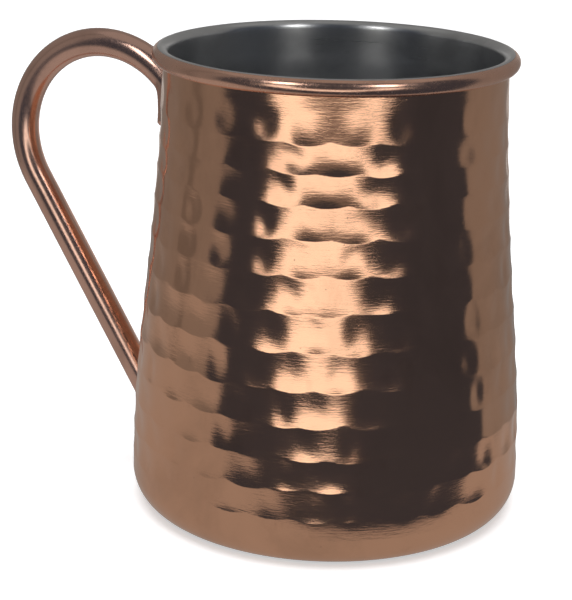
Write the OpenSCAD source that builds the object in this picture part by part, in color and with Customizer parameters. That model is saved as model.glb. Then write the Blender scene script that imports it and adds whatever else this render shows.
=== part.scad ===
// Hammered copper mug: a tapered sheet body with a wired rim, a tinned lining
// and a bent tube handle brazed to the wall. The handle stands on -X, the base
// rests on z = 0 and the body turns about Z.

/* [Body] */
// Height of the mug over the rolled rim (mm)
body_h = 106; // [80:0.5:140]
// Outer radius of the wall just under the rim (mm)
mouth_r = 38.5; // [28:0.1:50]
// Outer radius of the belly, the widest part (mm)
belly_r = 45.5; // [32:0.1:60]
// Radius of the flat part of the base (mm)
base_r = 40; // [25:0.1:55]
// Height of the rounded heel under the belly (mm)
heel_h = 7.2; // [3:0.1:15]
// Thickness of the copper sheet (mm)
sheet_t = 1.0; // [0.6:0.05:2]
// Thickness of the lining (mm)
lining_t = 0.25; // [0.15:0.01:0.6]

/* [Rim] */
// Radius of the rolled rim's bead (mm)
bead_r = 1.85; // [1.2:0.05:3]
// Radius of the wire inside the bead (mm)
wire_r = 0.95; // [0.5:0.05:1.5]
// Width of the slit where the rolled edge meets the wall (mm)
roll_gap = 0.25; // [0.1:0.05:0.5]

/* [Handle] */
// Outer radius of the handle tube (mm)
tube_r = 3.35; // [2:0.05:6]
// Wall of the handle tube (mm)
tube_t = 0.9; // [0.5:0.05:2]
// Radius of the bend's centre line (mm)
bend_r = 22.85; // [15:0.05:35]
// Distance of the bend's centre from the mug's axis (mm)
bend_x = 59.3; // [45:0.1:80]
// Height of the bend's centre (mm)
bend_z = 78.95; // [50:0.05:110]
// Angle of the bend past its top before the straight leg starts (degrees)
bend_end = 121.5; // [90:0.5:150]
// Height of the flattened end's lower edge (mm)
tab_z = 84.3; // [60:0.1:100]
// Height of the flattened end above that edge (mm)
tab_h = 8.4; // [4:0.1:20]
// Width of the flattened end (mm)
tab_w = 9.4; // [6:0.1:16]
// Thickness of the flattened end (mm)
tab_t = 4.2; // [1:0.1:6]
// Radius of the flattened end's lower corners (mm)
tab_corner = 1.4; // [0.5:0.1:3]

/* [Brazing] */
// How far the brazing spreads beyond the handle's ends (mm)
braze_w = 0.9; // [0.4:0.1:2]
// Thickness of the brazing on the wall (mm)
braze_t = 0.6; // [0.2:0.05:1.5]

/* [Hidden] */
$fn = 96;
bead_x = mouth_r - sheet_t - lining_t + bead_r;
bead_z = body_h - bead_r;
wall_top = bead_z - 0.7 * bead_r;
leg_x = bend_x + bend_r * sin(bend_end);
leg_z = bend_z + bend_r * cos(bend_end);
leg_l = (leg_z - 4) / sin(bend_end);
bend_start = -80;

// Outer radius of the wall at height z: a slow S from the belly to the mouth.
function wall_f(z) = min(1, (z - heel_h) / (wall_top - heel_h));
function wall_r(z) = mouth_r + (belly_r - mouth_r) * (1 + cos(180 * wall_f(z))) / 2;

// Half section from the axis to the bead, moved inwards by d.
function heel_points(d) = [
    for (a = [0 : 7.5 : 82.5])
        [base_r + (belly_r - base_r - d) * sin(a), heel_h - (heel_h - d) * cos(a)]
];
function wall_points(d) = [
    for (i = [0 : 20])
        let (z = heel_h + (bead_z - heel_h) * i / 20) [wall_r(z) - d, z]
];
function half_section(d) = concat([[0, d]], heel_points(d), wall_points(d));
function backwards(p) = [for (i = [len(p) - 1 : -1 : 0]) p[i]];

// A shell that follows the wall and floor between two depths.
module shell(d_out, d_in) {
    rotate_extrude()
        polygon(concat(half_section(d_out), backwards(half_section(d_in))));
}

// Everything inside the wall's outer face, used to cut the handle's ends.
module body_space() {
    rotate_extrude()
        polygon(concat(half_section(0), [[0, bead_z]]));
}

module bead_ring(r) {
    translate([0, 0, bead_z])
        rotate_extrude()
            translate([bead_x, 0])
                circle(r = r, $fn = 48);
}

// The part of the bead that the lining covers: its inner upper quarter.
module bead_skin() {
    difference() {
        bead_ring(bead_r);
        bead_ring(bead_r - lining_t);
        translate([0, 0, bead_z - 2 * bead_r])
            cylinder(h = 2 * bead_r, r = bead_x + 2 * bead_r);
        difference() {
            translate([0, 0, bead_z - 1])
                cylinder(h = 2 * bead_r, r = bead_x + 2 * bead_r);
            translate([0, 0, bead_z - 2])
                cylinder(h = 3 * bead_r, r = bead_x);
        }
    }
}

module body() {
    color([0.72, 0.43, 0.30])
        difference() {
            union() {
                shell(0, sheet_t);
                bead_ring(bead_r);
            }
            bead_ring(wire_r);
            bead_skin();
            // The inside is kept clear of the bead below its centre.
            translate([0, 0, bead_z - 2 * bead_r])
                cylinder(h = 2 * bead_r, r = mouth_r - sheet_t);
            // The slit at the rolled edge.
            translate([0, 0, bead_z - 2 * bead_r])
                difference() {
                    cylinder(h = 2 * bead_r - 0.5 * wire_r, r = mouth_r + roll_gap);
                    translate([0, 0, -1])
                        cylinder(h = 2 * bead_r + 2, r = mouth_r);
                }
        }
}

module lining() {
    color([0.62, 0.62, 0.64]) {
        shell(sheet_t, sheet_t + lining_t);
        bead_skin();
    }
}

module rim_wire() {
    color([0.40, 0.40, 0.42])
        bead_ring(wire_r);
}

// The handle's path filled to radius r: the bend and then the straight leg.
module handle_path(r) {
    translate([-bend_x, 0, bend_z])
        rotate([90, 0, 0])
            rotate([0, 0, 90 + bend_start])
                rotate_extrude(angle = bend_end - bend_start)
                    translate([bend_r, 0])
                        circle(r = r, $fn = 48);
    translate([-leg_x, 0, leg_z])
        rotate([0, 270 - bend_end, 0]) {
            cylinder(h = leg_l, r = r, $fn = 48);
            // A slightly thinner core that joins the bend and the leg firmly.
            translate([0, 0, -1])
                cylinder(h = 2, r = r - 0.05, $fn = 48);
        }
}

// The handle's path stopped at the lower edge of its flattened end.
module handle_cut(r) {
    difference() {
        handle_path(r);
        translate([-bend_x, -10, 60])
            cube([bend_x, 20, tab_z - 60]);
    }
}

// A plate across the wall with its two lower corners rounded.
module tab_plate(grow) {
    w = tab_w / 2 + grow;
    c = tab_corner + grow;
    lo = tab_z - grow;
    hi = tab_z + tab_h + grow;
    translate([-mouth_r - 12, -w, lo + c])
        cube([20, 2 * w, hi - lo - c]);
    translate([-mouth_r - 12, c - w, lo])
        cube([20, 2 * (w - c), 2 * c]);
    for (side = [-1, 1])
        translate([-mouth_r - 12, side * (w - c), lo + c])
            rotate([0, 90, 0])
                cylinder(h = 20, r = c, $fn = 32);
}

module handle() {
    color([0.80, 0.50, 0.38])
        union() {
            difference() {
                handle_cut(tube_r);
                handle_path(tube_r - tube_t);
                body_space();
            }
            intersection() {
                shell(-tab_t, 0);
                tab_plate(0);
            }
        }
}

module upper_braze() {
    color([0.78, 0.66, 0.44])
        difference() {
            intersection() {
                shell(-braze_t, 0);
                tab_plate(braze_w);
            }
            handle_cut(tube_r);
            intersection() {
                shell(-tab_t, 0);
                tab_plate(0);
            }
        }
}

module lower_braze() {
    color([0.78, 0.66, 0.44])
        difference() {
            intersection() {
                shell(-braze_t, 0);
                translate([-leg_x, 0, leg_z])
                    rotate([0, 270 - bend_end, 0])
                        cylinder(h = leg_l, r = tube_r + braze_w, $fn = 48);
            }
            handle_path(tube_r);
        }
}

body();
lining();
rim_wire();
handle();
upper_braze();
lower_braze();
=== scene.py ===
"""A hammered copper mug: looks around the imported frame, laid out as an add-on."""

import math

import bpy
import numpy as np
from mathutils import Matrix, Vector


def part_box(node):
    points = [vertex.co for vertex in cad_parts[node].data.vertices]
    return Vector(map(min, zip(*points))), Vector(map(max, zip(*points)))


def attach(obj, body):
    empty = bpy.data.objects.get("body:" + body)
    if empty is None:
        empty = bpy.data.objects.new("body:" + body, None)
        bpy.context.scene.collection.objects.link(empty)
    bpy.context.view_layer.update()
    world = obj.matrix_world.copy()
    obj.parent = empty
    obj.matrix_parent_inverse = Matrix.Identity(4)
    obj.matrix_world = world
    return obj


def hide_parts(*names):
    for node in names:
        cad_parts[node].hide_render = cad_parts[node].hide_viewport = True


bl_info = {
    "name": "Hammered copper mug",
    "version": (1, 0, 0),
    "blender": (4, 5, 0),
    "location": "3D View > Sidebar > Mug",
    "description": "Builds a hammered copper mug with a wired rim, a grey lining and a tube handle",
    "category": "Add Mesh",
}

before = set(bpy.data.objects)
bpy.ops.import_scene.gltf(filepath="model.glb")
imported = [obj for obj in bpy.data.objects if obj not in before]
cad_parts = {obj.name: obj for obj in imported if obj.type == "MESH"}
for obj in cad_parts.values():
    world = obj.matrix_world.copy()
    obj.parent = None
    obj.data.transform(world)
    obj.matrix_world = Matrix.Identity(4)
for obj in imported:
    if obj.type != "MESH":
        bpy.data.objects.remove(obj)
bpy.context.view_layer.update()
MM = 0.001

# The mug's outline, read from the solids' boxes and shared by every piece.
BODY_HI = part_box("body")[1]
LINING_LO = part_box("lining")[0]
WIRE_LO, WIRE_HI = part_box("rim_wire")
HANDLE_LO, HANDLE_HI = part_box("handle")
BELLY_R = BODY_HI.x
RIM_TOP = BODY_HI.z
BEAD_Z = (WIRE_LO.z + WIRE_HI.z) / 2
BEAD_R = RIM_TOP - BEAD_Z
WIRE_R = (WIRE_HI.z - WIRE_LO.z) / 2
BEAD_X = WIRE_HI.x - WIRE_R
SHEET = LINING_LO.z
SKIN = 0.25 * MM  # thickness of the lining
MOUTH_R = BEAD_X - BEAD_R + SHEET + SKIN
BASE_R = 40 * MM  # where the rounded heel starts
HEEL_H = 7.2 * MM  # height of the rounded heel
WALL_TOP = BEAD_Z - 0.7 * BEAD_R
RIM_FOOT = BEAD_Z - 1.25 * MM  # where the wall's mesh ends and the rolled rim's begins

# Where the lining ends on top of the bead, in degrees from the outside.
LINING_EDGE = 72

# The dents only go inwards, so the upper wall starts a little fuller.
SWELL = 0.33 * MM
SWELL_START, SWELL_RISE = 0.4, 0.35  # as shares of the wall's height

# The camera's side of the mug, as an angle about Z.
FRONT = math.radians(-67.0)


# ---------------------------------------------------------------- settings


class MugWallSettings(bpy.types.PropertyGroup):
    columns: bpy.props.IntProperty(
        name="Columns", description="Faces round the wall", default=384, min=64)
    groove_depth: bpy.props.FloatProperty(
        name="Row depth", description="Depth of the shallow groove each row of strikes makes",
        default=0.105 * MM, unit="LENGTH", precision=5)
    dent_depth: bpy.props.FloatProperty(
        name="Dent depth", description="Depth of a hammer strike below its row",
        default=0.22 * MM, unit="LENGTH", precision=5)
    dent_width: bpy.props.FloatProperty(
        name="Dent half width", description="Half width of a strike round the wall",
        default=2.7 * MM, unit="LENGTH", precision=5)
    ridge_sag: bpy.props.FloatProperty(
        name="Ridge sag", description="How far each strike pushes down the ridge below it",
        default=0.75 * MM, unit="LENGTH", precision=5)
    dent_pitch: bpy.props.FloatProperty(
        name="Dent pitch", description="Distance between strikes in a row",
        default=9.7 * MM, unit="LENGTH", precision=5)
    first_row: bpy.props.FloatProperty(
        name="First row", description="Height of the highest ridge between two rows",
        default=92.9 * MM, unit="LENGTH", precision=5)
    row_pitch: bpy.props.FloatProperty(
        name="Row pitch", description="Mean height of a row of strikes",
        default=7.39 * MM, unit="LENGTH", precision=5)
    rows: bpy.props.IntProperty(
        name="Rows", description="Rows of strikes", default=12, min=2)
    lean: bpy.props.FloatProperty(
        name="Lean", description="Slope of the smooth band under the rim", default=0.022,
        precision=4)
    copper: bpy.props.FloatVectorProperty(
        name="Copper", description="Colour of the brushed copper wall", subtype="COLOR",
        size=3, default=(0.93, 0.54, 0.36), min=0, max=1)


class MugRimSettings(bpy.types.PropertyGroup):
    columns: bpy.props.IntProperty(
        name="Columns", description="Faces round the rim", default=192, min=48)
    copper: bpy.props.FloatVectorProperty(
        name="Copper", description="Colour of the rolled rim", subtype="COLOR",
        size=3, default=(0.93, 0.56, 0.42), min=0, max=1)


class MugLiningSettings(bpy.types.PropertyGroup):
    columns: bpy.props.IntProperty(
        name="Columns", description="Faces round the lining", default=224, min=48)
    relief: bpy.props.FloatProperty(
        name="Relief", description="How far the dents show through on the inside",
        default=0.16 * MM, unit="LENGTH", precision=5)
    metal: bpy.props.FloatVectorProperty(
        name="Metal", description="Colour of the grey lining", subtype="COLOR",
        size=3, default=(0.71, 0.72, 0.735), min=0, max=1)


class MugHandleSettings(bpy.types.PropertyGroup):
    copper: bpy.props.FloatVectorProperty(
        name="Copper", description="Colour of the buffed tube", subtype="COLOR",
        size=3, default=(0.90, 0.57, 0.46), min=0, max=1)
    tube_r: bpy.props.FloatProperty(
        name="Tube radius", description="Outer radius of the handle tube",
        default=3.35 * MM, unit="LENGTH", precision=5)
    bend_r: bpy.props.FloatProperty(
        name="Bend radius", description="Radius of the bend's centre line",
        default=22.85 * MM, unit="LENGTH", precision=5)
    bend_end: bpy.props.FloatProperty(
        name="Bend end", description="Angle past the top where the straight leg starts",
        default=math.radians(121.5), subtype="ANGLE")
    tab_width: bpy.props.FloatProperty(
        name="Tab width", description="Width of the flattened upper end",
        default=9.4 * MM, unit="LENGTH", precision=5)
    tab_thickness: bpy.props.FloatProperty(
        name="Tab thickness", description="Thickness of the flattened upper end",
        default=4.2 * MM, unit="LENGTH", precision=5)


class MugBrazeSettings(bpy.types.PropertyGroup):
    spread: bpy.props.FloatProperty(
        name="Spread", description="How far the brazing runs out over the wall",
        default=0.8 * MM, unit="LENGTH", precision=5)
    metal: bpy.props.FloatVectorProperty(
        name="Metal", description="Colour of the brazing", subtype="COLOR",
        size=3, default=(0.84, 0.58, 0.42), min=0, max=1)


class MugStageSettings(bpy.types.PropertyGroup):
    lens: bpy.props.FloatProperty(
        name="Lens", description="Focal length of the camera", default=105.0,
        subtype="DISTANCE_CAMERA")
    floor_size: bpy.props.FloatProperty(
        name="Floor size", description="Half width of the pale floor", default=6.0,
        unit="LENGTH")


# ---------------------------------------------------------------- outline


def wall_radius(z, fuller=SWELL):
    """Outer radius of the wall at height z: a slow S from belly to mouth, fuller above."""
    t = np.clip((np.asarray(z, float) - HEEL_H) / (WALL_TOP - HEEL_H), 0, 1)
    full = np.clip((t - SWELL_START) / SWELL_RISE, 0, 1)
    swell = fuller * full * full * (3 - 2 * full)
    return MOUTH_R + swell + (BELLY_R - MOUTH_R) * (1 + np.cos(math.pi * t)) / 2


def heel_points(depth, steps):
    """Points of the rounded heel, moved inwards by depth."""
    return [
        (BASE_R + (BELLY_R - BASE_R - depth) * math.sin(a), HEEL_H - (HEEL_H - depth) * math.cos(a))
        for a in (math.pi / 2 * i / steps for i in range(steps))
    ]


def arc_points(cx, cz, r, start, end, steps):
    """Points of an arc in degrees, from start to end."""
    return [
        (cx + r * math.cos(math.radians(a)), cz + r * math.sin(math.radians(a)))
        for a in (start + (end - start) * i / steps for i in range(steps + 1))
    ]


# ---------------------------------------------------------------- modelling helpers


def deselect():
    """Leaves edit mode and clears the selection."""
    if bpy.context.object and bpy.context.object.mode != "OBJECT":
        bpy.ops.object.mode_set(mode="OBJECT")
    bpy.ops.object.select_all(action="DESELECT")


def name_it(name):
    """Names the object that was just added, and its mesh."""
    obj = bpy.context.object
    obj.name = name
    obj.data.name = name
    return obj


def coords(obj):
    """The mesh's points as rows of x, y and z."""
    co = np.empty(len(obj.data.vertices) * 3)
    obj.data.vertices.foreach_get("co", co)
    return co.reshape(-1, 3)


def set_coords(obj, co):
    obj.data.vertices.foreach_set("co", np.asarray(co, float).ravel())
    obj.data.update()


def lathe(name, outline, columns):
    """Turns a closed or open half section about Z. The outline runs (radius, height)."""
    deselect()
    bpy.ops.mesh.primitive_plane_add(size=MM)
    obj = name_it(name)
    bpy.ops.object.mode_set(mode="EDIT")
    bpy.ops.mesh.select_all(action="SELECT")
    bpy.ops.mesh.merge(type="CENTER")
    bpy.ops.transform.translate(value=(outline[0][0], 0, outline[0][1]))
    for (r0, z0), (r1, z1) in zip(outline, outline[1:]):
        bpy.ops.mesh.extrude_region_move(
            TRANSFORM_OT_translate={"value": (r1 - r0, 0, z1 - z0)})
    bpy.ops.mesh.select_all(action="SELECT")
    bpy.ops.mesh.spin(
        steps=columns, angle=2 * math.pi, center=(0, 0, 0), axis=(0, 0, 1),
        use_auto_merge=True)
    bpy.ops.mesh.select_all(action="SELECT")
    bpy.ops.mesh.remove_doubles(threshold=2e-6)
    bpy.ops.mesh.normals_make_consistent(inside=False)
    bpy.ops.object.mode_set(mode="OBJECT")
    return obj


def ring_of(obj, outline):
    """For each vertex, the outline point it was turned from and its angle about Z."""
    co = coords(obj)
    r = np.hypot(co[:, 0], co[:, 1])
    pts = np.array(outline)
    ring = np.empty(len(co), int)
    batch = 20000
    for start in range(0, len(co), batch):
        part = slice(start, start + batch)
        gap = (r[part, None] - pts[None, :, 0]) ** 2 + (co[part, 2, None] - pts[None, :, 1]) ** 2
        ring[part] = gap.argmin(1)
    return ring, np.arctan2(co[:, 1], co[:, 0])


def smooth(obj, degrees):
    """Smooth shading, with an edge wherever faces meet at more than this angle."""
    deselect()
    bpy.context.view_layer.objects.active = obj
    obj.select_set(True)
    bpy.ops.object.shade_smooth_by_angle(angle=math.radians(degrees))


def keep_material(obj, mat):
    obj.data.materials.clear()
    obj.data.materials.append(mat)


def loft(name, sides, rings):
    """A straight tube of many rings, capped at both ends, made ready to be led along a path."""
    deselect()
    bpy.ops.mesh.primitive_circle_add(vertices=sides, radius=MM, fill_type="NOTHING")
    obj = name_it(name)
    bpy.ops.object.mode_set(mode="EDIT")
    bpy.ops.mesh.select_all(action="SELECT")
    bpy.ops.mesh.edge_face_add()
    bpy.ops.mesh.select_all(action="SELECT")
    for _ in range(rings - 1):
        bpy.ops.mesh.extrude_region_move(TRANSFORM_OT_translate={"value": (0, 0, MM)})
    bpy.ops.mesh.select_all(action="SELECT")
    bpy.ops.mesh.normals_make_consistent(inside=False)
    bpy.ops.object.mode_set(mode="OBJECT")
    co = coords(obj)
    return obj, np.rint(co[:, 2] / MM).astype(int), np.arctan2(co[:, 1], co[:, 0])


def collar(name, around, across):
    """A closed ring mesh whose loops are then set in place: returns both angles per vertex."""
    deselect()
    ring_r = 4 * MM
    bpy.ops.mesh.primitive_torus_add(
        major_segments=around, minor_segments=across, major_radius=ring_r, minor_radius=MM)
    obj = name_it(name)
    co = coords(obj)
    major = np.arctan2(co[:, 1], co[:, 0])
    minor = np.arctan2(co[:, 2], np.hypot(co[:, 0], co[:, 1]) - ring_r)
    return obj, major, minor


# ---------------------------------------------------------------- hammering


# Where the first strike of each row sits, as a share of the pitch from the front.
ROW_PHASE = (-0.52, 0.17, -0.12, -0.38, -0.58, 0.12, -0.30, 0.36, -0.05, -0.44, 0.22, -0.18, 0.3)
# How far the rows stray from an even pitch: up and down, and all of them up at mid height.
ROW_SWING, ROW_LIFT = 1.5 * MM, 0.7 * MM
# Random spread of the strikes: the first as a share of their spacing, the rest of themselves.
ANGLE_SPREAD, WIDTH_SPREAD, DEPTH_SPREAD, SAG_SPREAD = 0.07, 0.14, 0.20, 0.25
# Where a row is deepest between its ridges, and how slowly a strike eases out above.
GROOVE_LOW = 0.42
BOWL_EASE = 1.3
BOWL_SCALE = 4.83  # makes a strike's deepest place one
# How much of a strike's depth shows on the strip over the heel.
HEEL_SHARE = 0.12
# How softly a ridge's crest is rounded, and the size of the wall's slow waves.
CREST = 0.012 * MM
WAVE = 0.05 * MM
FADE_H = 6 * MM  # height over which the waves die out at both ends


def strike_rows(cfg):
    """One entry per row: the ridge under it, and the angle, width, depth and sag of its strikes."""
    rng = np.random.default_rng(41)
    turn = cfg.rows - 1
    rows = []
    for k in range(cfg.rows + 1):
        ridge = (cfg.first_row - cfg.row_pitch * k
                 + ROW_SWING * math.sin(2 * math.pi * k / turn)
                 + ROW_LIFT * math.sin(math.pi * k / turn))
        radius = float(wall_radius(ridge))
        count = round(2 * math.pi * radius / cfg.dent_pitch)
        step = 2 * math.pi / count
        rows.append({
            "ridge": ridge,
            "radius": radius,
            "half": step * radius / 2,
            "angle": FRONT + step * (np.arange(count) + ROW_PHASE[k])
            + rng.normal(0, ANGLE_SPREAD, count) * step,
            "width": cfg.dent_width * (1 + rng.normal(0, WIDTH_SPREAD, count)),
            "depth": cfg.dent_depth * (1 + rng.normal(0, DEPTH_SPREAD, count)),
            "sag": cfg.ridge_sag * (1 + rng.normal(0, SAG_SPREAD, count)),
        })
    return rows


def along(row, angle, theta):
    """Distance round the wall from a strike's middle."""
    return ((theta - angle + math.pi) % (2 * math.pi) - math.pi) * row["radius"]


def ridge_line(row, theta):
    """Height of the ridge under a row: every strike has pushed it down in a shallow arc."""
    soft = 0.12  # rounds the points where two arcs meet
    arc = np.full(theta.shape, -3.0)  # far below every arc
    for angle, sag in zip(row["angle"], row["sag"] / row["sag"].mean()):
        u = along(row, angle, theta) / row["half"]
        arc = np.logaddexp(arc / soft, sag * (1 - u * u) / soft) * soft
    return row["ridge"] - row["sag"].mean() * arc


def strikes(row, theta):
    """Depth of a row's strikes round the wall, where each is deepest."""
    depth = np.zeros(theta.shape)
    for angle, width, deep in zip(row["angle"], row["width"], row["depth"]):
        depth += deep * np.exp(-(along(row, angle, theta) / width) ** 2)
    return depth


def groove(t):
    """Section of a row between its two ridges, from zero to one and back."""
    below, above = (GROOVE_LOW - t) / GROOVE_LOW, (t - GROOVE_LOW) / (1 - GROOVE_LOW)
    return 1 - np.where(t < GROOVE_LOW, below, above) ** 2


def bowl(t):
    """Section of a strike: steep over the lower ridge, then easing out below the upper one."""
    t = np.clip(t, 0, 1)
    return BOWL_SCALE * t * (1 - t) ** BOWL_EASE


def unevenness(theta, z):
    """The slow waviness that raising and hammering leave in a sheet, between -1 and 1."""
    h = z / MM
    return (0.40 * np.sin(3 * theta + 0.06 * h + 0.7) + 0.30 * np.sin(5 * theta - 0.09 * h + 2.1)
            + 0.20 * np.sin(8 * theta + 0.15 * h) + 0.10 * np.sin(13 * theta - 0.22 * h + 1.3))


# Where the mesh lines lie between two ridges: close to each ridge, even in between.
BAND = (0.0, 0.009, 0.024, 0.05, 0.10, 0.19, 0.29, 0.39, 0.50, 0.61, 0.72, 0.83, 0.92, 0.976, 0.991)
# The same for the smooth band under the rim.
CROWN = (0, 0.008, 0.05, 0.1, 0.16, 0.22, 0.28, 0.34, 0.41, 0.48, 0.56, 0.64, 0.72, 0.81, 0.9, 1)


# ---------------------------------------------------------------- materials


class Nodes:
    """Short hand for laying out one material's nodes."""

    def __init__(self, name):
        self.mat = bpy.data.materials.new(name)
        self.mat.use_nodes = True
        self.tree = self.mat.node_tree
        self.shader = self.tree.nodes["Principled BSDF"]
        self.place = self.add("ShaderNodeTexCoord").outputs["Object"]

    def add(self, kind, **values):
        node = self.tree.nodes.new(kind)
        for key, value in values.items():
            setattr(node, key, value)
        return node

    def link(self, source, target):
        self.tree.links.new(source, target)

    def feed(self, socket, value):
        if isinstance(value, bpy.types.NodeSocket):
            self.link(value, socket)
        else:
            socket.default_value = value

    def noise(self, scale, size=1.0, detail=3.0, rough=0.55, distortion=0.0):
        """Noise on object coordinates, scaled per axis in features per metre."""
        mapping = self.add("ShaderNodeMapping")
        self.link(self.place, mapping.inputs["Vector"])
        mapping.inputs["Scale"].default_value = scale
        node = self.add("ShaderNodeTexNoise")
        self.link(mapping.outputs["Vector"], node.inputs["Vector"])
        node.inputs["Scale"].default_value = size
        node.inputs["Detail"].default_value = detail
        node.inputs["Roughness"].default_value = rough
        node.inputs["Distortion"].default_value = distortion
        return node.outputs["Fac"]

    def specks(self, scale, reach):
        """One where a small round speck lies, zero elsewhere."""
        mapping = self.add("ShaderNodeMapping")
        self.link(self.place, mapping.inputs["Vector"])
        mapping.inputs["Scale"].default_value = (scale, scale, scale)
        node = self.add("ShaderNodeTexVoronoi")
        self.link(mapping.outputs["Vector"], node.inputs["Vector"])
        node.inputs["Scale"].default_value = 1.0
        return self.ramp(node.outputs["Distance"], ((0.0, 1.0), (reach, 0.0)))

    def ramp(self, source, stops):
        """A grey ramp, or a colour ramp where the stops hold colours."""
        node = self.add("ShaderNodeValToRGB")
        self.link(source, node.inputs["Fac"])
        band = node.color_ramp
        while len(band.elements) < len(stops):
            band.elements.new(0.5)
        for element, (at, value) in zip(band.elements, stops):
            element.position = at
            colour = (value,) * 3 if isinstance(value, (int, float)) else tuple(value)
            element.color = (*colour[:3], 1)
        return node.outputs["Color"]

    def math(self, operation, a, b=0.0):
        node = self.add("ShaderNodeMath", operation=operation)
        self.feed(node.inputs[0], a)
        self.feed(node.inputs[1], b)
        return node.outputs[0]

    def mix(self, share, a, b, blend="MIX"):
        node = self.add("ShaderNodeMix", data_type="RGBA", blend_type=blend)
        self.feed(node.inputs[0], share)
        for socket, value in ((node.inputs[6], a), (node.inputs[7], b)):
            self.feed(socket, value if isinstance(value, bpy.types.NodeSocket) else (*value[:3], 1))
        return node.outputs[2]

    def bump(self, height, distance, strength=1.0, under=None):
        node = self.add("ShaderNodeBump")
        node.inputs["Strength"].default_value = strength
        node.inputs["Distance"].default_value = distance
        self.link(height, node.inputs["Height"])
        if under:
            self.link(under, node.inputs["Normal"])
        return node.outputs["Normal"]

    def finish(self, colour, roughness, normal=None, metallic=1.0, **fixed):
        self.feed(self.shader.inputs["Base Color"], colour)
        self.feed(self.shader.inputs["Roughness"], roughness)
        self.shader.inputs["Metallic"].default_value = metallic
        if normal:
            self.link(normal, self.shader.inputs["Normal"])
        for key, value in fixed.items():
            self.shader.inputs[key.replace("_", " ").title()].default_value = value
        return self.mat


def shade(colour, factor):
    """The colour made darker or lighter."""
    return tuple(min(1.0, c * factor) for c in colour)


def brushed_copper(colour):
    """Copper brushed round the wall: fine level lines, faint stains and a few pits."""
    n = Nodes("hammered_copper")
    lines = n.noise((90, 90, 3400), detail=4, rough=0.65)
    grain = n.noise((700, 700, 2600), detail=2)
    cloud = n.noise((38, 38, 30), detail=5, rough=0.6, distortion=0.4)
    blotch = n.noise((120, 120, 90), detail=4, rough=0.7)
    pits = n.specks(210, 0.045)
    tone = n.ramp(cloud, ((0.32, shade(colour, 0.86)), (0.5, colour), (0.72, shade(colour, 1.05))))
    stained = n.mix(n.ramp(blotch, ((0.58, 0.0), (0.78, 0.35))), tone,
                    (colour[0] * 0.72, colour[1] * 0.66, colour[2] * 0.62))
    pitted = n.mix(n.math("MULTIPLY", pits, 0.5), stained, shade(colour, 0.4))
    streak = n.ramp(lines, ((0.3, 0.07), (0.7, 0.13)))
    rough = n.math("ADD", streak, n.math("MULTIPLY", blotch, 0.05))
    jitter = n.noise((420, 420, 1900), detail=3, rough=0.6)
    normal = n.bump(lines, 1.4e-5)
    normal = n.bump(jitter, 2.2e-5, under=normal)
    normal = n.bump(grain, 3.5e-6, under=normal)
    normal = n.bump(pits, -2e-5, under=normal)
    return n.finish(pitted, rough, normal, anisotropic=0.3, anisotropic_rotation=0.25)


def polished_copper(colour, name, rough_lo=0.13, scratch=2.5e-6):
    """Buffed copper with hair scratches and a faint warm tarnish."""
    n = Nodes(name)
    cloud = n.noise((60, 60, 45), detail=4, rough=0.6)
    hair = n.noise((1500, 260, 1500), detail=3, rough=0.6)
    tone = n.ramp(cloud, ((0.3, shade(colour, 0.82)), (0.52, colour), (0.75, shade(colour, 1.05))))
    rough = n.ramp(hair, ((0.3, rough_lo), (0.72, rough_lo + 0.1)))
    normal = n.bump(hair, scratch)
    return n.finish(tone, rough, normal)


def lining_metal(colour):
    """Satin grey metal with turning marks and soft cloudy wear."""
    n = Nodes("lining_metal")
    lines = n.noise((70, 70, 2200), detail=2, rough=0.5)
    cloud = n.noise((45, 45, 60), detail=5, rough=0.6, distortion=0.5)
    fine = n.noise((900, 900, 900), detail=2)
    tone = n.ramp(cloud, ((0.28, shade(colour, 0.78)), (0.5, colour), (0.75, shade(colour, 1.12))))
    rough = n.math("ADD", n.ramp(lines, ((0.3, 0.25), (0.7, 0.30))), n.math("MULTIPLY", cloud, 0.06))
    normal = n.bump(lines, 1.2e-6)
    normal = n.bump(fine, 1.2e-6, under=normal)
    return n.finish(tone, rough, normal, anisotropic=0.7, anisotropic_rotation=0.25)


def braze_metal(colour):
    """Brazing metal: pale, a little rippled, darker where the flux burned."""
    n = Nodes("braze_metal")
    ripple = n.noise((900, 900, 900), detail=4, rough=0.6)
    burn = n.noise((260, 260, 260), detail=3)
    tone = n.ramp(burn, ((0.3, shade(colour, 0.55)), (0.55, colour), (0.8, shade(colour, 1.1))))
    rough = n.ramp(ripple, ((0.3, 0.24), (0.7, 0.42)))
    return n.finish(tone, rough, n.bump(ripple, 3e-5))


def wire_metal():
    """Plain drawn wire, faintly rusty."""
    n = Nodes("wire_steel")
    drawn = n.noise((400, 400, 3000), detail=3)
    spots = n.noise((220, 220, 220), detail=4)
    tone = n.ramp(spots, ((0.4, (0.42, 0.42, 0.43)), (0.75, (0.30, 0.22, 0.17))))
    return n.finish(tone, n.ramp(drawn, ((0.3, 0.3), (0.7, 0.5))), n.bump(drawn, 4e-6))


# ---------------------------------------------------------------- pieces


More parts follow.
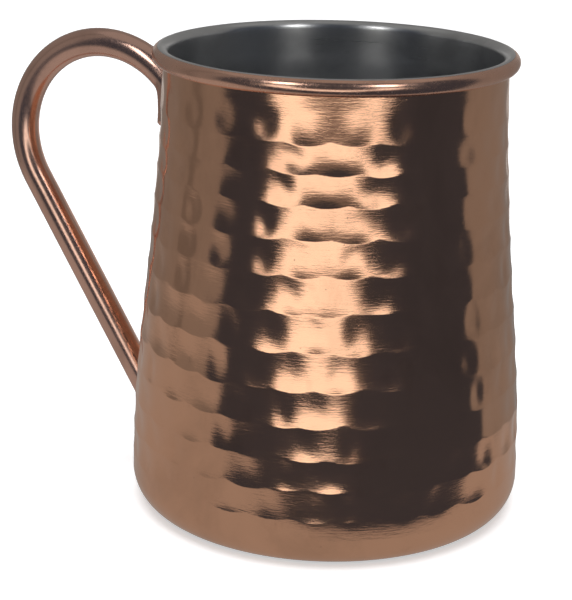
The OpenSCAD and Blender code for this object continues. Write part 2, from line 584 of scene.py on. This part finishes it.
def wall_outline(cfg, rows):
    """The wall's closed half section, and where its outer points above the heel start and end."""
    # The underside is a little hollow.
    under = [(0, 0.22 * MM), (12 * MM, 0.22 * MM), (24 * MM, 0.21 * MM), (32 * MM, 0.16 * MM),
             (36 * MM, 0.03 * MM), (37.5 * MM, 0.0)]
    heel = heel_points(0, 14)
    low = [HEEL_H + i * 0.5 * MM for i in range(6)]
    marks = [row["ridge"] for row in rows[:-1]][::-1]
    hammered = []
    for z0, z1 in zip(marks, marks[1:]):
        hammered += [z0 + (z1 - z0) * share for share in BAND]
    crown = [marks[-1] + share * (WALL_TOP - marks[-1]) for share in CROWN]
    outer = [(float(wall_radius(z)), z) for z in low + hammered + crown]
    inner_z = [RIM_FOOT - (RIM_FOOT - HEEL_H) * i / 14 for i in range(15)]
    inner = [(float(wall_radius(z, 0)) - SHEET, z) for z in inner_z]
    inside = inner + heel_points(SHEET, 6)[::-1] + [(20 * MM, SHEET), (0, SHEET)]
    first = len(under) + len(heel)
    return under + heel + outer + [(MOUTH_R, RIM_FOOT)] + inside, first, first + len(outer)


def hammer(cfg, rows, z0, column, outer):
    """Moves the wall's points to their rows: their new heights and how deep they are struck."""
    angles = -math.pi + 2 * math.pi * np.arange(cfg.columns) / cfg.columns
    level = np.zeros(cfg.columns)
    # From the heel's edge over every ridge to the wall's top: even heights, then true lines.
    marks = [HEEL_H] + [row["ridge"] for row in rows[:-1]][::-1] + [WALL_TOP]
    lines = [level + HEEL_H] + [ridge_line(row, angles) for row in rows[:-1]][::-1]
    lines.append(level + WALL_TOP)
    struck = [strikes(row, angles) for row in rows][::-1]
    z, depth = z0.copy(), np.zeros(len(z0))
    last = len(marks) - 2
    span = np.clip(np.searchsorted(marks, z0 + 1e-9) - 1, 0, last)
    for s in range(last + 1):
        pick = outer & (span == s)
        here = column[pick]
        lo, hi = lines[s][here], lines[s + 1][here]
        share = (z0[pick] - marks[s]) / (marks[s + 1] - marks[s])
        z[pick] = lo + (hi - lo) * share
        if s == 0:
            # The strip over the heel only has faint marks.
            depth[pick] = struck[s][here] * HEEL_SHARE * bowl(share)
        elif s == last:
            # The band under the rim is smooth above its strikes, and leans in a little.
            rise = z[pick] - lo
            depth[pick] = struck[s][here] * bowl(rise / cfg.row_pitch) + rise * cfg.lean
        else:
            depth[pick] = cfg.groove_depth * groove(share) + struck[s][here] * bowl(share)
    return z, np.sqrt(depth ** 2 + CREST ** 2) - CREST


class MESH_OT_mug_wall(bpy.types.Operator):
    """Turns the copper wall and hammers its rows of dents"""

    bl_idname = "mesh.mug_wall"
    bl_label = "Hammered wall"
    bl_options = {"REGISTER", "UNDO"}

    def execute(self, context):
        cfg = context.scene.mug_wall
        rows = strike_rows(cfg)
        outline, first, end = wall_outline(cfg, rows)
        obj = lathe("hammered_wall", outline, cfg.columns)
        ring, theta = ring_of(obj, outline)
        co = coords(obj)
        column = np.rint((theta + math.pi) / (2 * math.pi) * cfg.columns).astype(int) % cfg.columns
        outer = (ring >= first) & (ring < end)
        z, depth = hammer(cfg, rows, np.array(outline)[ring, 1], column, outer)
        fade = np.clip((WALL_TOP - z) / FADE_H, 0, 1) * np.clip((z - HEEL_H * 0.3) / FADE_H, 0, 1)
        wave = (unevenness(theta, z) - 1) * WAVE * fade
        radius = wall_radius(z) + wave - depth
        co[outer, 0] = (radius * np.cos(theta))[outer]
        co[outer, 1] = (radius * np.sin(theta))[outer]
        co[outer, 2] = z[outer]
        set_coords(obj, co)
        smooth(obj, 40)
        keep_material(obj, brushed_copper(cfg.copper))
        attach(obj, "root")
        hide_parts("body")
        return {"FINISHED"}


class MESH_OT_mug_rim(bpy.types.Operator):
    """Rolls the wall's edge over its wire"""

    bl_idname = "mesh.mug_rim"
    bl_label = "Rolled rim"
    bl_options = {"REGISTER", "UNDO"}

    def execute(self, context):
        cfg = context.scene.mug_rim
        copper_r = BEAD_R - SKIN  # under the lining
        hollow_r = WIRE_R + 0.03 * MM  # round the wire
        roll_end = -98
        outline = [(BEAD_X - copper_r, RIM_FOOT), (BEAD_X - copper_r, BEAD_Z - 0.4 * MM)]
        outline += arc_points(BEAD_X, BEAD_Z, copper_r, 180, LINING_EDGE + 1, 10)
        outline += arc_points(BEAD_X, BEAD_Z, BEAD_R, LINING_EDGE - 1, roll_end, 24)
        outline += arc_points(BEAD_X, BEAD_Z, hollow_r, roll_end, 180, 20)
        outline += [(MOUTH_R, BEAD_Z - 0.9 * MM), (MOUTH_R, RIM_FOOT)]
        outline.append(outline[0])
        obj = lathe("rolled_rim", outline, cfg.columns)
        smooth(obj, 50)
        keep_material(obj, polished_copper(cfg.copper, "rim_copper", 0.19, 0.8e-6))
        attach(obj, "root")
        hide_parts("body")
        keep_material(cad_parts["rim_wire"], wire_metal())
        return {"FINISHED"}


class MESH_OT_mug_lining(bpy.types.Operator):
    """Lines the mug with its grey skin, over the inner side of the rim"""

    bl_idname = "mesh.mug_lining"
    bl_label = "Lining"
    bl_options = {"REGISTER", "UNDO"}

    def execute(self, context):
        cfg = context.scene.mug_lining
        depth = SHEET + SKIN
        steps = 84
        levels = [HEEL_H + (BEAD_Z - HEEL_H) * i / steps for i in range(steps + 1)]
        floor = [(r * MM, depth) for r in (0, 8, 16, 24, 31, 36)]
        outline = floor + heel_points(depth, 10)
        first = len(outline)
        outline += [(float(wall_radius(z, 0)) - depth, z) for z in levels[:-1]]
        last = len(outline)
        outline += arc_points(BEAD_X, BEAD_Z, BEAD_R, 180, LINING_EDGE, 12)
        outline += arc_points(BEAD_X, BEAD_Z, BEAD_R - 0.9 * SKIN, LINING_EDGE, 180, 12)
        back = SHEET + 0.1 * SKIN  # a hair off the copper
        outline += [(float(wall_radius(z, 0)) - back, z) for z in levels[-6:0:-8]]
        outline += heel_points(back, 6)[::-1] + [(20 * MM, back), (0, back)]
        obj = lathe("lining_skin", outline, cfg.columns)
        ring, theta = ring_of(obj, outline)
        co = coords(obj)
        inside = (ring >= first) & (ring < last)
        z = co[:, 2]
        push = np.zeros(len(co))
        # Seen from inside, each strike is a soft bump a little above its ridge.
        above, half_h, half_w = 2.8 * MM, 3.0 * MM, 4.2 * MM
        for row in strike_rows(context.scene.mug_wall):
            v = (z - row["ridge"] - above) / half_h
            for angle, deep in zip(row["angle"], row["depth"]):
                push += deep * np.exp(-(along(row, angle, theta) / half_w) ** 2 - v * v)
        push = np.where(inside, push, 0) / context.scene.mug_wall.dent_depth * cfg.relief
        push *= np.clip((BEAD_Z - z) / (8 * MM), 0, 1)
        radius = np.hypot(co[:, 0], co[:, 1]) - push
        co[inside, 0] = (radius * np.cos(theta))[inside]
        co[inside, 1] = (radius * np.sin(theta))[inside]
        set_coords(obj, co)
        smooth(obj, 50)
        keep_material(obj, lining_metal(cfg.metal))
        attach(obj, "root")
        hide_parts("lining")
        return {"FINISHED"}


# The flattened end's straight part, where the bend begins to flatten, and the radius inside the
# wall to which the straight leg is led before it is cut.
TAB_FOOT, TAB_TOP = 84.3 * MM, 87.6 * MM
BEND_START = math.radians(-44)
LEG_END_R = 43.2 * MM


def handle_path(cfg):
    """The tube's centre line from its flattened end down to the wall: radius, height, flatness."""
    cx = -HANDLE_LO.x - cfg.bend_r - cfg.tube_r
    cz = HANDLE_HI.z - cfg.bend_r - cfg.tube_r
    half_t = cfg.tab_thickness / 2
    pts = []
    for z in np.linspace(TAB_FOOT, TAB_TOP, 6):
        pts.append((float(wall_radius(z)) + half_t - 0.1 * MM, z, 1.0))
    # A short blend from the flattened end up into the bend.
    p0 = Vector((pts[-1][0], pts[-1][1]))
    p3 = Vector((cx + cfg.bend_r * math.sin(BEND_START), cz + cfg.bend_r * math.cos(BEND_START)))
    d0 = Vector((0, 1))
    d3 = Vector((math.cos(BEND_START), -math.sin(BEND_START)))
    reach = (p3 - p0).length * 0.38
    steps = 16
    for i in range(1, steps):
        t = i / steps
        b = (p0 * (1 - t) ** 3 + (p0 + d0 * reach) * 3 * t * (1 - t) ** 2
             + (p3 - d3 * reach) * 3 * t ** 2 * (1 - t) + p3 * t ** 3)
        flat = 1 - t
        pts.append((b.x, b.y, flat * flat * (3 - 2 * flat)))
    for a in np.linspace(BEND_START, cfg.bend_end, 64):
        pts.append((cx + cfg.bend_r * math.sin(a), cz + cfg.bend_r * math.cos(a), 0.0))
    end = Vector((pts[-1][0], pts[-1][1]))
    way = Vector((math.cos(cfg.bend_end), -math.sin(cfg.bend_end)))
    length = (end.x - LEG_END_R) / -way.x
    for s in np.linspace(0, length, 41)[1:]:
        pts.append((end.x + way.x * s, end.y + way.y * s, 0.0))
    return np.array(pts)


class MESH_OT_mug_handle(bpy.types.Operator):
    """Leads the handle tube from its flattened end over the bend and down to the wall"""

    bl_idname = "mesh.mug_handle"
    bl_label = "Tube handle"
    bl_options = {"REGISTER", "UNDO"}

    def execute(self, context):
        cfg = context.scene.mug_handle
        path = handle_path(cfg)
        obj, ring, angle = loft("tube_handle", 48, len(path))
        tangent = np.gradient(path[:, :2], axis=0)
        tangent /= np.linalg.norm(tangent, axis=1)[:, None]
        normal = np.stack([-tangent[:, 1], tangent[:, 0]], 1)
        flat = path[ring, 2]
        half_w = cfg.tube_r + (cfg.tab_width / 2 - cfg.tube_r) * flat
        half_t = cfg.tube_r + (cfg.tab_thickness / 2 - cfg.tube_r) * flat
        power = 1 - 0.6 * flat  # the flattened end is squarer than the tube
        c, s = np.cos(angle), np.sin(angle)
        side = half_w * np.sign(s) * np.abs(s) ** power
        deep = half_t * np.sign(c) * np.abs(c) ** power
        # The cut end is a little rounded at its rim.
        tip = np.where(ring == 0, 0.86, 1.0)
        rho = path[ring, 0] + normal[ring, 0] * deep * tip
        z = path[ring, 1] + normal[ring, 1] * deep * tip
        # The flattened end wraps round the wall.
        theta = side * tip / np.maximum(rho, 1e-6) * flat
        x = -(rho * np.cos(theta))
        y = side * tip * (1 - flat) + rho * np.sin(theta)
        set_coords(obj, np.stack([x, y, z], 1))
        deselect()
        bpy.context.view_layer.objects.active = obj
        obj.select_set(True)
        bpy.ops.object.mode_set(mode="EDIT")
        bpy.ops.mesh.select_all(action="SELECT")
        bpy.ops.mesh.normals_make_consistent(inside=False)
        # The lower end alone is cut just inside the wall's face.
        leg_top = 40 * MM
        cut_place = (-44.75 * MM, 0, 12 * MM)
        bpy.ops.mesh.select_all(action="DESELECT")
        bpy.ops.object.mode_set(mode="OBJECT")
        obj.data.vertices.foreach_set("select", z < leg_top)
        bpy.ops.object.mode_set(mode="EDIT")
        bpy.ops.mesh.bisect(
            plane_co=cut_place, plane_no=(1, 0, 0.03), use_fill=True, clear_outer=True)
        bpy.ops.object.mode_set(mode="OBJECT")
        smooth(obj, 45)
        keep_material(obj, polished_copper(cfg.copper, "handle_copper", 0.17))
        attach(obj, "root")
        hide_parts("handle")
        return {"FINISHED"}


def on_wall(y, z, proud):
    """A point on the handle's side of the wall, standing proud of it."""
    radius = wall_radius(z) + proud
    theta = y / radius
    return np.stack([-radius * np.cos(theta), radius * np.sin(theta), z], 1)


def bead(minor, wobble, spread, height):
    """Section of a collar: how far it runs out from the tube, and how proud of the wall."""
    tuck, sunk = 0.5 * MM, 0.25 * MM  # under the tube and into the wall
    out = np.cos(minor) * 0.5 + 0.5
    up = np.sin(minor) * 0.5 + 0.5
    return out * spread * wobble - tuck, up * (1 - out) ** 1.3 * height - sunk


class MESH_OT_mug_brazing(bpy.types.Operator):
    """Runs the brazing round both ends of the handle"""

    bl_idname = "mesh.mug_brazing"
    bl_label = "Brazing"
    bl_options = {"REGISTER", "UNDO"}

    def execute(self, context):
        cfg = context.scene.mug_braze
        tube = context.scene.mug_handle
        metal = braze_metal(cfg.metal)
        lo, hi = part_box("upper_braze")
        mid_z, half_z = (lo.z + hi.z) / 2, (hi.z - lo.z) / 2 - cfg.spread
        obj, major, minor = collar("upper_brazing", 96, 10)
        wobble = 1 + 0.12 * np.sin(5 * major + 0.6) + 0.08 * np.sin(11 * major)
        grow, proud = bead(minor, wobble, cfg.spread + 0.4 * MM, 1.1 * MM)
        c, s = np.cos(major), np.sin(major)
        squared = 0.55  # follows the flattened end's squarer outline
        px = np.sign(c) * np.abs(c) ** squared
        pz = np.sign(s) * np.abs(s) ** squared
        across = px * (tube.tab_width / 2 + grow)
        up_wall = mid_z + pz * (half_z + grow)
        set_coords(obj, on_wall(across, up_wall, proud))
        self.close(obj, metal, "upper_braze")

        # The lower collar lies round the slanting leg, where its centre line meets the wall.
        joint_z, lowest = 12.5 * MM, 2.6 * MM
        obj, major, minor = collar("lower_brazing", 80, 10)
        wobble = 1 + 0.14 * np.sin(4 * major + 1.9) + 0.08 * np.sin(9 * major)
        grow, proud = bead(minor, wobble, cfg.spread + 0.3 * MM, 1.0 * MM)
        path = handle_path(tube)
        end, way = path[-1, :2], path[-1, :2] - path[-2, :2]
        way = way / np.linalg.norm(way)
        reach = (end[0] - float(wall_radius(joint_z))) / way[0]
        hit = end - way * reach
        stretch = 1 / -way[0]
        across = np.cos(major) * (tube.tube_r + grow)
        slope = np.sin(major) * (tube.tube_r * stretch + grow)
        z = np.clip(hit[1] + slope, lowest, None)
        place = on_wall(across, z, proud)
        # Below the belly it follows the heel's curve inwards.
        sink = np.clip((HEEL_H - z) / HEEL_H, 0, 1)
        place[:, 0] += (BELLY_R - BASE_R) * (1 - np.sqrt(1 - sink ** 2))
        set_coords(obj, place)
        self.close(obj, metal, "lower_braze")
        return {"FINISHED"}

    def close(self, obj, metal, node):
        """Turns the collar's faces outwards, gives it smooth shading and its metal, hangs it on the
        root and hides its solid.
        """
        deselect()
        bpy.context.view_layer.objects.active = obj
        obj.select_set(True)
        bpy.ops.object.mode_set(mode="EDIT")
        bpy.ops.mesh.select_all(action="SELECT")
        bpy.ops.mesh.normals_make_consistent(inside=False)
        bpy.ops.object.mode_set(mode="OBJECT")
        smooth(obj, 60)
        keep_material(obj, metal)
        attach(obj, "root")
        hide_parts(node)


# ---------------------------------------------------------------- stage


# The reflectors' places are in millimetres, seen from the camera's side of the mug.
TENT_R, TENT_H = 262, 420
GROUND_R = 78  # where the ground in front of the tent's wall starts
BACK_H = 135  # height of the bright foot of the tent's back
CARD = (1.0, 0.97, 0.93)
WINDOW_Y = 200
# Height, left edge, left and right edge of the camera's shape, right edge.
WINDOW = (
    (0, -20, 0, 0, 15), (10, -45, 0, 0, 25), (20, -75, 0, 0, 35), (45, -95, 0, 0, 56),
    (58, -138, 0, 0, 72), (64, -142, 0, 4, 98), (69, -146, -42, 44, 112),
    (80, -152, -66, 68, 136), (98, -160, -80, 82, 152), (150, -165, -84, 86, 160),
)


def glow(name, colour, strength):
    """A material that only shines."""
    mat = bpy.data.materials.new(name)
    mat.use_nodes = True
    tree = mat.node_tree
    tree.nodes.clear()
    out = tree.nodes.new("ShaderNodeOutputMaterial")
    lamp = tree.nodes.new("ShaderNodeEmission")
    lamp.inputs["Color"].default_value = (*colour, 1)
    lamp.inputs["Strength"].default_value = strength
    tree.links.new(lamp.outputs[0], out.inputs["Surface"])
    return mat


def in_view(right, ahead, up):
    """A place given from the camera's side: right and towards the camera, in millimetres."""
    c, s = math.cos(FRONT), math.sin(FRONT)
    return Vector(((ahead * c - right * s) * MM, (ahead * s + right * c) * MM, up * MM))


def round_mug(angle, r):
    """A place round the mug at an angle in degrees from the camera, to its right and ahead."""
    return r * math.sin(math.radians(angle)), r * math.cos(math.radians(angle))


def reflector(name, points, faces, colour, strength):
    """A softbox or card that only shows in reflections."""
    mesh = bpy.data.meshes.new(name)
    mesh.from_pydata([in_view(*p) for p in points], [], faces)
    obj = bpy.data.objects.new(name, mesh)
    bpy.context.scene.collection.objects.link(obj)
    mesh.materials.append(glow(name, colour, strength))
    obj.visible_camera = False
    obj.visible_diffuse = False
    obj.visible_shadow = False
    return obj


def tent_part(name, start, end, near, far, colour, strength):
    """A strip of the tent round the mug between two angles from the camera."""
    steps = max(2, int(abs(end - start) / 6))
    pts = []
    for i in range(steps + 1):
        a = start + (end - start) * i / steps
        pts += [(*round_mug(a, r), z) for r, z in (near, far)]
    faces = [(k, k + 1, k + 3, k + 2) for k in range(0, 2 * steps, 2)]
    return reflector(name, pts, faces, colour, strength)


def add_floor(half_width):
    """A plain pale floor that is not seen in reflections."""
    deselect()
    bpy.ops.mesh.primitive_plane_add(size=2 * half_width)
    floor = name_it("floor")
    mat = bpy.data.materials.new("floor")
    mat.use_nodes = True
    shader = mat.node_tree.nodes["Principled BSDF"]
    shader.inputs["Base Color"].default_value = (0.9, 0.9, 0.9, 1)
    shader.inputs["Roughness"].default_value = 1.0
    shader.inputs["Emission Color"].default_value = (1, 1, 1, 1)
    shader.inputs["Emission Strength"].default_value = 0.55
    floor.data.materials.append(mat)
    floor.visible_glossy = False


def add_tent():
    """The white tent round the sides and the back, open and dark towards the camera."""
    for name, start, end, strength in (
            ("right", 89, 152, 0.215), ("left", -70, -90, 0.21), ("left_mid", -90, -99, 0.15),
            ("left_far", -99, -152, 0.20), ("back", 152, 208, 0.46)):
        top = BACK_H if name == "back" else TENT_H
        tent_part("tent_" + name, start, end, (TENT_R, 0), (TENT_R, top), CARD, strength)
        tent_part("ground_" + name, start, end, (GROUND_R, 0.5), (TENT_R, 0.5), CARD, 0.23)
    tent_part("tent_high", 152, 208, (TENT_R, BACK_H), (TENT_R, TENT_H), CARD, 0.22)
    foot = [(*round_mug(a, TENT_R), z) for a, z in ((-60, 0), (-70, 0), (-70, 62))]
    reflector("tent_left_foot", foot, [(0, 1, 2)], CARD, 0.21)

    # The floor's card ends close to the mug in front, and further out to its left.
    edge = ((-180, 84), (-90, 262), (-62, 262), (-52, 135), (-40, 104), (-25, 86), (-8, 71),
            (8, 64), (30, 63), (50, 66), (70, 76), (89, 100), (110, 84), (180, 84))
    angles, radii = zip(*edge)
    points = [(0, 0, 0.7)]
    points += [(*round_mug(a, float(np.interp(a, angles, radii))), 0.7)
               for a in range(-180, 180, 6)]
    count = len(points) - 1
    reflector("tent_floor", points, [(0, i, i % count + 1) for i in range(1, count + 1)],
              (1.0, 0.93, 0.87), 0.33)
    roof = [(-260, -260, 430), (260, -260, 430), (260, 120, 430), (-260, 120, 430)]
    reflector("tent_roof", roof, [(0, 1, 2, 3)], CARD, 0.30)


def add_window():
    """The bright window of the tent's front, narrow below and wide above, with a dim glow round
    it. The camera's dark shape stands in the middle, from a point at its foot."""
    sides = [(x, WINDOW_Y, row[0]) for row in WINDOW for x in row[1:]]
    faces = []
    for k in range(0, 4 * (len(WINDOW) - 1), 4):
        faces += [(k, k + 1, k + 5, k + 4), (k + 2, k + 3, k + 7, k + 6)]
    reflector("window", sides, faces, (1.0, 0.97, 0.90), 1.27)
    # The glow reaches further out on both sides, but ends one row below the window's top.
    lower = WINDOW[:-1]
    around = [(x, WINDOW_Y + 6, row[0]) for row in lower for x in (row[1] - 26, row[4] + 24)]
    faces = [(k, k + 1, k + 3, k + 2) for k in range(0, 2 * (len(lower) - 1), 2)]
    reflector("window_glow", around, faces, (1.0, 0.93, 0.88), 0.17)
    for name, mid in (("softbox_left", -230), ("softbox_right", 230)):
        box = [(mid + x, y, z) for x, y, z in (
            (-60, 380, 330), (60, 380, 330), (60, 300, 520), (-60, 300, 520))]
        reflector(name, box, [(0, 1, 2, 3)], (1, 0.99, 0.97), 4.8)


def add_world():
    """White behind the mug, and a dark bluish room in its reflections."""
    world = bpy.data.worlds.new("studio")
    bpy.context.scene.world = world
    world.use_nodes = True
    tree = world.node_tree
    sky = tree.nodes["Background"]
    sky.inputs["Color"].default_value = (0.62, 0.74, 1.0, 1)
    sky.inputs["Strength"].default_value = 0.066
    page = tree.nodes.new("ShaderNodeBackground")
    page.inputs["Color"].default_value = (1, 1, 1, 1)
    page.inputs["Strength"].default_value = 1.0
    path = tree.nodes.new("ShaderNodeLightPath")
    mixer = tree.nodes.new("ShaderNodeMixShader")
    tree.links.new(path.outputs["Is Camera Ray"], mixer.inputs[0])
    tree.links.new(sky.outputs[0], mixer.inputs[1])
    tree.links.new(page.outputs[0], mixer.inputs[2])
    tree.links.new(mixer.outputs[0], tree.nodes["World Output"].inputs["Surface"])


def add_lamp():
    """One wide soft lamp overhead."""
    lamp = bpy.data.lights.new("overhead", "AREA")
    lamp.shape = "DISK"
    lamp.size = 1.6
    lamp.energy = 26
    obj = bpy.data.objects.new("overhead", lamp)
    obj.location = (0, 0, 1.5)
    obj.visible_glossy = False
    obj.visible_camera = False
    bpy.context.scene.collection.objects.link(obj)


def add_camera(lens):
    """The camera, set from its own right, down and forward directions."""
    eye = in_view(0, 387.8, 170.7)
    tilt, turn, roll = 0.3096, -0.0256, -0.0213  # in radians
    ahead = FRONT + math.pi - turn
    forward = Vector((math.cos(ahead) * math.cos(tilt), math.sin(ahead) * math.cos(tilt),
                      -math.sin(tilt)))
    level = forward.cross(Vector((0, 0, 1))).normalized()
    down = forward.cross(level)
    side = level * math.cos(roll) + down * math.sin(roll)
    down = down * math.cos(roll) - level * math.sin(roll)
    cam = bpy.data.cameras.new("camera")
    cam.lens = lens
    cam.sensor_width = 36
    cam.clip_start, cam.clip_end = 0.01, 50
    obj = bpy.data.objects.new("camera", cam)
    obj.matrix_world = Matrix.Translation(eye) @ Matrix(
        (side, -down, -forward)).transposed().to_4x4()
    bpy.context.scene.collection.objects.link(obj)
    bpy.context.scene.camera = obj


class SCENE_OT_mug_stage(bpy.types.Operator):
    """Sets the pale floor, the soft light and the camera"""

    bl_idname = "scene.mug_stage"
    bl_label = "Stage"
    bl_options = {"REGISTER", "UNDO"}

    def execute(self, context):
        cfg = context.scene.mug_stage
        add_floor(cfg.floor_size)
        add_tent()
        add_window()
        add_world()
        add_lamp()
        add_camera(cfg.lens)
        context.scene.view_settings.view_transform = "Standard"
        return {"FINISHED"}


# ---------------------------------------------------------------- panel and registration


SETTINGS = (
    ("mug_wall", MugWallSettings), ("mug_rim", MugRimSettings), ("mug_lining", MugLiningSettings),
    ("mug_handle", MugHandleSettings), ("mug_braze", MugBrazeSettings),
    ("mug_stage", MugStageSettings),
)
STEPS = (
    ("mug_wall", MESH_OT_mug_wall), ("mug_rim", MESH_OT_mug_rim),
    ("mug_lining", MESH_OT_mug_lining), ("mug_handle", MESH_OT_mug_handle),
    ("mug_braze", MESH_OT_mug_brazing), ("mug_stage", SCENE_OT_mug_stage),
)


class VIEW3D_PT_mug(bpy.types.Panel):
    """Sizes, colours and steps of the mug"""

    bl_idname = "VIEW3D_PT_mug"
    bl_label = "Hammered mug"
    bl_space_type = "VIEW_3D"
    bl_region_type = "UI"
    bl_category = "Mug"

    def draw(self, context):
        for key, step in STEPS:
            box = self.layout.box()
            group = getattr(context.scene, key)
            for field in group.bl_rna.properties.keys():
                if field not in ("rna_type", "name"):
                    box.prop(group, field)
            box.operator(step.bl_idname)


def register():
    for key, group in SETTINGS:
        bpy.utils.register_class(group)
        setattr(bpy.types.Scene, key, bpy.props.PointerProperty(type=group))
    for _, step in STEPS:
        bpy.utils.register_class(step)
    bpy.utils.register_class(VIEW3D_PT_mug)


def unregister():
    bpy.utils.unregister_class(VIEW3D_PT_mug)
    for _, step in reversed(STEPS):
        bpy.utils.unregister_class(step)
    for key, group in reversed(SETTINGS):
        delattr(bpy.types.Scene, key)
        bpy.utils.unregister_class(group)


def main():
    register()
    bpy.ops.scene.mug_stage()
    bpy.ops.mesh.mug_wall()
    bpy.ops.mesh.mug_rim()
    bpy.ops.mesh.mug_lining()
    bpy.ops.mesh.mug_handle()
    bpy.ops.mesh.mug_brazing()


if __name__ == "__main__":
    main()
